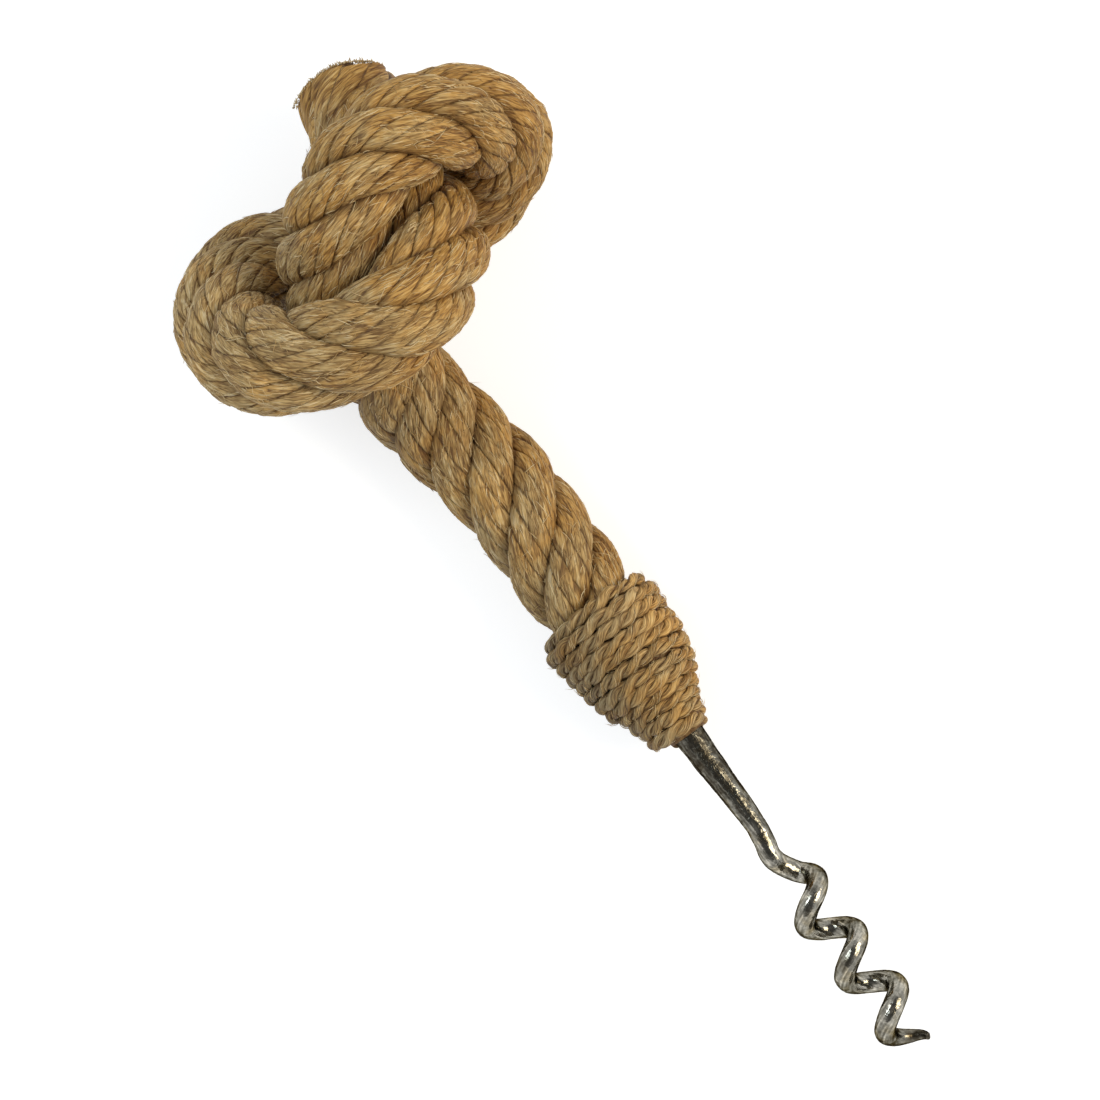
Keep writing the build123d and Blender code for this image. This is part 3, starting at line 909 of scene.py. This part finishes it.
def hair_tubes(name, lines, normals, dice, thinnest, thickest, slot):
    """Thin closed tubes along the lines, which are fibres x points x 3, kept over the surface below."""
    lines[..., 2] = np.maximum(lines[..., 2], FIBRE_CLEARANCE)
    radii = dice.uniform(thinnest, thickest, len(lines))
    tints = dice.uniform(LEAST_TINT, 1.0, len(lines))
    tangents = unit(np.gradient(lines, axis=1))
    across = unit(np.cross(tangents, normals))
    up = np.cross(across, tangents)
    turn = tau * np.arange(FIBRE_SIDES) / FIBRE_SIDES
    taper = np.ones(lines.shape[1])
    taper[0], taper[-1] = FIBRE_ROOT_SIZE, FIBRE_TIP_SIZE
    size = radii[:, None] * taper
    round_line = turned_from(up[:, :, None], -across[:, :, None], turn)
    rings = lines[:, :, None] + size[..., None, None] * round_line
    piece = tubes(name, rings, values={"tint": np.repeat(tints, lines.shape[1] * FIBRE_SIDES)})
    piece.data.materials.append(straw)
    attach(piece, "root")


def on_strand(k, place, turned):
    """Points of a strand's surface, at places along it and turned round it from its outward side."""
    row = np.interp(place, strand_place[k], np.arange(samples))
    low = np.minimum(row.astype(int), samples - 2)
    part = (row - low)[..., None]
    yarn = (turned + at(place, strand_place[k], yarn_turn[k])) * YARNS / tau % YARNS
    edges = np.append(yarn_places, YARNS)
    column = np.clip(np.searchsorted(edges, yarn, "right") - 1, 0, len(yarn_places) - 1)
    share = ((yarn - edges[column]) / (edges[column + 1] - edges[column]))[..., None]
    following = (column + 1) % len(yarn_places)
    rings = strand_rings[k]
    near, far = [(1 - share) * rings[i, column] + share * rings[i, following] for i in (low, low + 1)]
    return (1 - part) * near + part * far


def strand_hairs(count, length, lift, spread, seed, points):
    """Fibres that lie across the yarns of the strands, and rise from them by up to a lift."""
    dice = np.random.default_rng(seed)
    each = (count, 1)
    strand = dice.integers(0, STRANDS, count)
    begin = dice.uniform(0, 1, each)
    facing = dice.normal(0, FACING_SPREAD, each)
    run = dice.uniform(LEAST_ROPE_RUN, 1.0, each) * length
    drift = dice.normal(0, spread, each)
    bend = dice.normal(0, spread, each)
    tip = np.abs(dice.normal(0, 1, each)) * lift
    root = np.abs(dice.normal(0, ROOT_LIFT_SHARE, each)) * lift
    backward = dice.random(each) < 0.5
    share = np.linspace(0, 1, points)
    free = np.where(backward, 1 - share, share)
    rise = ROPE_FIBRE_SEAT + root * (1 - free) ** 2 + tip * free**ROPE_TIP_POWER
    wavering = (drift * share + bend * share**2) / STRAND_RADIUS
    lines, normals = np.zeros((2, count, points, 3))
    slope = cos(atan((1 - FIBRE_TURN_SHARE) * tau * STRAND_RADIUS / YARN_LAY))
    for k in range(STRANDS):
        mine = strand == k
        low, high = at((0, cut_place - BARE_TAIL_LENGTH), rope_place, strand_place[k])
        place = low + begin[mine] * (high - low) + share * run[mine] * slope
        turned = at(place, strand_place[k], yarn_turn[k])
        turned = facing[mine] - (1 - FIBRE_TURN_SHARE) * (turned - turned[:, :1]) + wavering[mine]
        surface = on_strand(k, place, turned)
        normals[mine] = unit(surface - at(place, strand_place[k], centres[k]))
        lines[mine] = surface + normals[mine] * rise[mine][..., None]
    return lines, normals, dice


def twine_hairs(count, length, lift, seed):
    """Short fibres that stand off the twine, most of them along its plies."""
    dice = np.random.default_rng(seed)
    each = (count, 1)
    begin = dice.uniform(TWINE_END_SHARE, 1 - TWINE_END_SHARE, each) * twine_place[-1]
    facing = dice.normal(0, FACING_SPREAD, each)
    run = dice.uniform(LEAST_TWINE_RUN, 1.0, each) * length
    twist = dice.normal(0, TWINE_FIBRE_TWIST, each)
    ply = dice.integers(0, PLIES, count)
    tip = np.abs(dice.normal(0, 1, each)) * lift
    share = np.linspace(0, 1, FIBRE_POINTS)
    place = np.clip(begin + share * run, 0, twine_place[-1])
    turned = facing + twist * share * run / PLY_RADIUS
    rise = PLY_RADIUS - TWINE_FIBRE_SINK + tip * share**TWINE_TIP_POWER
    lines, normals = np.zeros((2, count, FIBRE_POINTS, 3))
    for k in range(PLIES):
        mine = ply == k
        tracks = (ply_centre, ply_out, ply_side)
        centre, out, side = [at(place[mine], twine_place, track[k]) for track in tracks]
        normals[mine] = turned_from(unit(out), unit(side), turned[mine])
        lines[mine] = centre + normals[mine] * rise[mine][..., None]
    return lines + TWINE_ORIGIN, normals, dice


def tail_fringe():
    """Short cut fibres that stand out of the ends of the strands."""
    dice = np.random.default_rng(FRINGE_SEED)
    strand = dice.integers(0, STRANDS, FRINGE_COUNT)
    spread = STRAND_RADIUS * (1 + TAIL_STRAND_GROWTH) * FRINGE_SPREAD
    off = np.sqrt(dice.uniform(0, 1, (FRINGE_COUNT, 1))) * spread
    turned = dice.uniform(0, tau, (FRINGE_COUNT, 1))
    length = dice.gamma(*FRINGE_LENGTHS_MM, (FRINGE_COUNT, 1, 1))
    length = length.clip(SHORTEST_FRINGE_MM, LONGEST_FRINGE_MM) * MM
    lean = dice.normal(0, FRINGE_LEAN, (FRINGE_COUNT, 3))
    share = np.linspace(-0.5, 1, FIBRE_POINTS)[:, None]
    lines = np.zeros((FRINGE_COUNT, FIBRE_POINTS, 3))
    for k in range(STRANDS):
        mine = strand == k
        frame_lines = (strand_tangent, outward, sideways)
        along, out, side = [unit(at(cut_place, rope_place, line[k])) for line in frame_lines]
        up_share, side_share = strand_shape(turned[mine])
        base = at(cut_place, rope_place, centres[k]) + off[mine] * (up_share * out + side_share * side)
        for _ in range(2):
            base = base - (beyond_cut(base) / (along @ tail_direction))[:, None] * along
        direction = (1 - FRINGE_STRAND_SHARE) * tail_direction + FRINGE_STRAND_SHARE * along + lean[mine]
        bent = share * unit(direction)[:, None] + share**2 * lean[mine][:, None] / 2
        lines[mine] = base[:, None] + length[mine] * bent
    return lines, np.broadcast_to(np.array(FRINGE_UP), lines.shape), dice


for name, *form, thinnest, thickest in ROPE_FIBRES:
    hair_tubes(name, *strand_hairs(*form), thinnest, thickest, "manila_rope")
for name, *form, thinnest, thickest in TWINE_FIBRES:
    hair_tubes(name, *twine_hairs(*form), thinnest, thickest, "hemp_twine")
hair_tubes("rope_tail_fringe", *tail_fringe(), FRINGE_THINNEST, FRINGE_THICKEST, "manila_rope")


# The screw: the solid's own form with the dents and pits of a forged and tarnished bar

SCREW_VOXEL = 0.13 * MM
SCREW_SWELL = 0.12 * MM
WORM_SIDESTEP = 0.25 * MM
SIDESTEP_FROM, SIDESTEP_REACH = 16 * MM, 12 * MM
SHANK_PULL, SHANK_PULL_REACH = 2.0 * MM, 12 * MM
TIP_DIRECTION = np.array((0.52, 0.854, 0))
TIP_LENGTH = 4 * MM
TIP_WORN_LENGTH, TIP_WORN_AWAY, TIP_WORN_POWER = 5 * MM, 1.2 * MM, 1.5
DENTS_PER_M, PITS_PER_M = 320, 1500
DENT_DEPTH, DENT_WEAR = 0.13 * MM, 0.05 * MM
PIT_DEPTH, PIT_WEAR, PIT_TOP = 0.07 * MM, 0.045 * MM, 0.1
WORN_FROM, WORN_REACH = 12 * MM, 10 * MM
STREAK_SIZE, STREAK_DEPTH = np.array((3.2, 0.42, 0.42)) * MM, 0.03 * MM
STREAK_FADE = 3 * MM
# How rough each fractal is, how much finer each of its octaves is, and how many it has
PIT_FRACTAL = (0.8, 2.0, 3)
STREAK_FRACTAL = (0.7, 2.0, 2)
# The tarnish, as it is on the shank and on the worm, and the painted shade where the surface faces sideways
# or down
SHANK_TO_WORM = (SHANK_START + 4 * MM, SHANK_START + 22 * MM)
CONTRASTS, TONES, PITTING = (1.0, 0.60), (0.485, 0.657), (2.6, 1.1)
BLOTCH_SHARE = 0.55
BURNT_RANGE = (SCREW_END - 5 * MM, SCREW_END - 1 * MM, 0.0, 0.22)
FLANK_SHADE_RANGE = (0.62, 0.20, 0.0, 0.11)
STREAK_TONE = 0.13
BROWN_RANGE, BROWN_SHIFT = (0.52, 0.70), (1.0, 0.90, 0.72)
GLOSS_RANGE = (0.40, 0.62, 0.40, 0.12)
PITTING_STRENGTH, PITTING_HEIGHT = 0.8, 0.06 * MM
METAL_EDGE = (0.23, 0.215, 0.185, 1)
METAL_TONES = [
    (0.34, (0.032, 0.027, 0.021)), (0.46, (0.072, 0.064, 0.050)), (0.56, (0.148, 0.140, 0.116)),
    (0.66, (0.275, 0.264, 0.226)), (0.78, (0.62, 0.585, 0.50)),
]


def fractal(places, shape):
    return np.array([noise.fractal(Vector(place), *shape) for place in places])


def lengthwise_streaks(places):
    """Streaks of about unit size on the screw's surface, drawn out along the shank and along the wire."""
    ahead = places[:, 0] - SCREW_END + WORM_LENGTH
    aside, above = places[:, 1] - NECK_START[1] + WORM_OFFSET, places[:, 2] - NECK_HEIGHT
    turn = np.arctan2(above, aside) / tau
    turn = turn + np.round(ahead / WORM_PITCH + WORM_START_TURN - turn)
    off_wire = ahead - (turn - WORM_START_TURN) * WORM_PITCH
    outside = np.hypot(aside, above) - COIL_RADIUS
    wire_place = turn * hypot(WORM_PITCH, tau * COIL_RADIUS)
    on_worm = np.stack([wire_place, off_wire, outside], -1)
    share = np.clip(ahead / STREAK_FADE + 1, 0, 1)
    coils, straight = [fractal(grid / STREAK_SIZE, STREAK_FRACTAL) for grid in (on_worm, places)]
    return share * coils + (1 - share) * straight


def vectors_of(items, key):
    """The vectors that a mesh's items hold, one in a row."""
    values = np.zeros(len(items) * 3, np.float32)
    items.foreach_get(key, values)
    return values.reshape(-1, 3).astype(float)


def forged_screw():
    """A copy of the screw's solid, remeshed evenly, with dents and pits that fade along the worm."""
    rough = new_object("screw_copy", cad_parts["screw"].data.copy())
    remesh = rough.modifiers.new("even", "REMESH")
    remesh.mode = "VOXEL"
    remesh.voxel_size = SCREW_VOXEL
    even = bpy.data.meshes.new_from_object(rough.evaluated_get(bpy.context.evaluated_depsgraph_get()))
    bpy.data.objects.remove(rough)
    places = vectors_of(even.vertices, "co")
    normals = vectors_of(even.vertex_normals, "vector")
    dents = np.array([noise.noise(Vector(place) * DENTS_PER_M) for place in places])
    pits = np.minimum(fractal(places * PITS_PER_M, PIT_FRACTAL), PIT_TOP)
    streak = lengthwise_streaks(places)
    from_shank = places[:, 0] - SHANK_START
    worn = np.clip((from_shank - WORN_FROM) / WORN_REACH, 0, 1)
    depth = dents * (DENT_DEPTH - DENT_WEAR * worn) + pits * (PIT_DEPTH - PIT_WEAR * worn)
    places = places + normals * (depth + STREAK_DEPTH * streak + SCREW_SWELL)[:, None]
    from_shank = places[:, 0] - SHANK_START
    places[:, 1] += WORM_SIDESTEP * eased((from_shank - SIDESTEP_FROM) / SIDESTEP_REACH)
    places[:, 0] -= SHANK_PULL * np.clip(1 - from_shank / SHANK_PULL_REACH, 0, 1)
    end = places[places[:, 0] > places[:, 0].max() - TIP_LENGTH]
    tip = end[np.argmax(end @ TIP_DIRECTION)]
    near_tip = np.clip(1 - np.linalg.norm(places - tip, axis=1) / TIP_WORN_LENGTH, 0, 1)
    places = places - TIP_WORN_AWAY * (near_tip**TIP_WORN_POWER)[:, None] * TIP_DIRECTION
    even.vertices.foreach_set("co", places.astype(np.float32).ravel())
    even.shade_smooth()
    even.attributes.new("streak", "FLOAT", "POINT").data.foreach_set("value", streak.astype(np.float32))
    even.materials.clear()
    return new_object("screw_forged", even)


def forged_metal(name):
    """Old steel: pewter grey, with dark and brown tarnish that is heaviest on the shank, and painted shade
    where it faces sideways or down.
    """
    material = graph(name)
    coords = object_place()
    place = axis_of(coords, "X")
    worm = scaled(place, *SHANK_TO_WORM)
    blotches, specks, hue = [clouds(coords, *pattern) for pattern in (BLOTCHES, SPECKS, HUES)]
    level = plus(times(blotches, BLOTCH_SHARE), times(specks, 1 - BLOTCH_SHARE))
    level = centred(level, scaled(worm, 0.0, 1.0, *CONTRASTS))
    level = plus(level, scaled(worm, 0.0, 1.0, *TONES))
    level = plus(level, times(attribute("streak"), STREAK_TONE))
    level = minus(level, scaled(place, *BURNT_RANGE))
    # Painted shade: the surface is darker where it faces sideways or down
    upward = axis_of(add("ShaderNodeNewGeometry", output="Normal"), "Z")
    level = minus(level, scaled(upward, *FLANK_SHADE_RANGE))
    colour = ramp(level, METAL_TONES)
    colour = mix("MULTIPLY", scaled(hue, *BROWN_RANGE), colour, BROWN_SHIFT)
    pitted = times(specks, scaled(worm, 0.0, 1.0, *PITTING))
    bump = add("ShaderNodeBump", Strength=PITTING_STRENGTH, Distance=PITTING_HEIGHT, Height=pitted)
    shine = {"Roughness": scaled(level, *GLOSS_RANGE), "Specular_Tint": METAL_EDGE}
    surface(colour, Metallic=1.0, Normal=bump, **shine)
    return material


screw = forged_screw()
screw.data.materials.append(forged_metal("forged_steel"))
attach(screw, "root")
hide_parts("screw")


# Stage, lamps and camera

FLOOR_SIZE = 4.0
FLOOR_COLOUR = (0.56, 0.56, 0.56, 1)
FLOOR_GLOW = 0.68
AMBIENT_COLOUR, AMBIENT_LEVEL = (0.93, 0.96, 1.0, 1), 0.48
# The room over the object is dimmer than its walls, as polished metal shows it
CEILING_RANGE = (0.55, 0.82)
CEILING_LEVEL = 0.16
# The photograph's right and up, seen in the part's own plane
PHOTO_RIGHT = Vector((0.6, 0.8, 0))
PHOTO_UP = Vector((-0.8, 0.6, 0))
CAMERA_HEIGHT = 5.0
SENSOR_WIDTH_MM = 36
FIELD = 187 * MM
VIEW_SHIFT = Vector((-13.3 * MM, -0.07 * MM, CAMERA_HEIGHT))


def white_to_camera():
    """1 for the rays that should see the background white, and 0 for those that light the object."""
    rays = add("ShaderNodeLightPath").node.outputs
    seen = maths("MAXIMUM", rays["Is Camera Ray"], rays["Is Glossy Ray"])
    return maths("MAXIMUM", seen, rays["Is Transmission Ray"])


half = FLOOR_SIZE / 2
floor_corners = [(-half, -half, 0), (half, -half, 0), (half, half, 0), (-half, half, 0)]
floor_mesh = bpy.data.meshes.new("floor")
floor_mesh.from_pydata(floor_corners, [], [(0, 1, 2, 3)])
floor = new_object("floor", floor_mesh)
paper = graph("pale_floor")
diffuse = add("ShaderNodeBsdfDiffuse", Color=FLOOR_COLOUR)
glow = add("ShaderNodeEmission", Strength=times(white_to_camera(), FLOOR_GLOW))
lit = add("ShaderNodeAddShader", i0=diffuse, i1=glow)
clear = add("ShaderNodeBsdfTransparent")
from_below = add("ShaderNodeNewGeometry", output="Backfacing")
add("ShaderNodeOutputMaterial", Surface=add("ShaderNodeMixShader", i0=from_below, i1=lit, i2=clear))
floor.data.materials.append(paper)

world = graph("soft_room", bpy.data.worlds)
up = axis_of(add("ShaderNodeTexCoord", output="Generated"), "Z")
glossy = add("ShaderNodeLightPath", output="Is Glossy Ray")
ceiling = times(glossy, scaled(up, *CEILING_RANGE))
white_level = scaled(ceiling, 0, 1, 1.0, CEILING_LEVEL)
ambient = add("ShaderNodeBackground", Color=AMBIENT_COLOUR, Strength=AMBIENT_LEVEL)
white = add("ShaderNodeBackground", Color=(1, 1, 1, 1), Strength=white_level)
both = add("ShaderNodeMixShader", i0=white_to_camera(), i1=ambient, i2=white)
add("ShaderNodeOutputWorld", Surface=both)
scene.world = world


def lamp(name, right, up, height, size, power, colour):
    """A soft square lamp, placed by the photograph's right and up, aimed at the object."""
    data = bpy.data.lights.new(name, "AREA")
    data.size = size
    data.energy = power
    data.color = colour
    light = new_object(name, data)
    middle = (cad_box[0] + cad_box[1]) / 2
    offset = right * PHOTO_RIGHT + up * PHOTO_UP + Vector((0, 0, height))
    light.location = Vector((middle.x, middle.y, 0)) + offset
    light.rotation_mode = "QUATERNION"
    light.rotation_quaternion = (-offset).to_track_quat("-Z", "Y")


lamp("key", right=2.1, up=0.3, height=2.0, size=1.5, power=46, colour=(1.0, 0.87, 0.64))
lamp("fill", right=-1.6, up=0.5, height=2.3, size=1.15, power=24, colour=(0.84, 0.94, 1.0))

camera_data = bpy.data.cameras.new("camera")
camera_data.sensor_width = SENSOR_WIDTH_MM
camera_data.lens = SENSOR_WIDTH_MM * CAMERA_HEIGHT / FIELD
camera = new_object("camera", camera_data)
axes = Matrix((PHOTO_RIGHT, PHOTO_UP, (0, 0, 1))).transposed().to_4x4()
camera.matrix_world = Matrix.Translation(Vector(NECK_START) + VIEW_SHIFT) @ axes
scene.camera = camera
scene.view_settings.view_transform = "Standard"
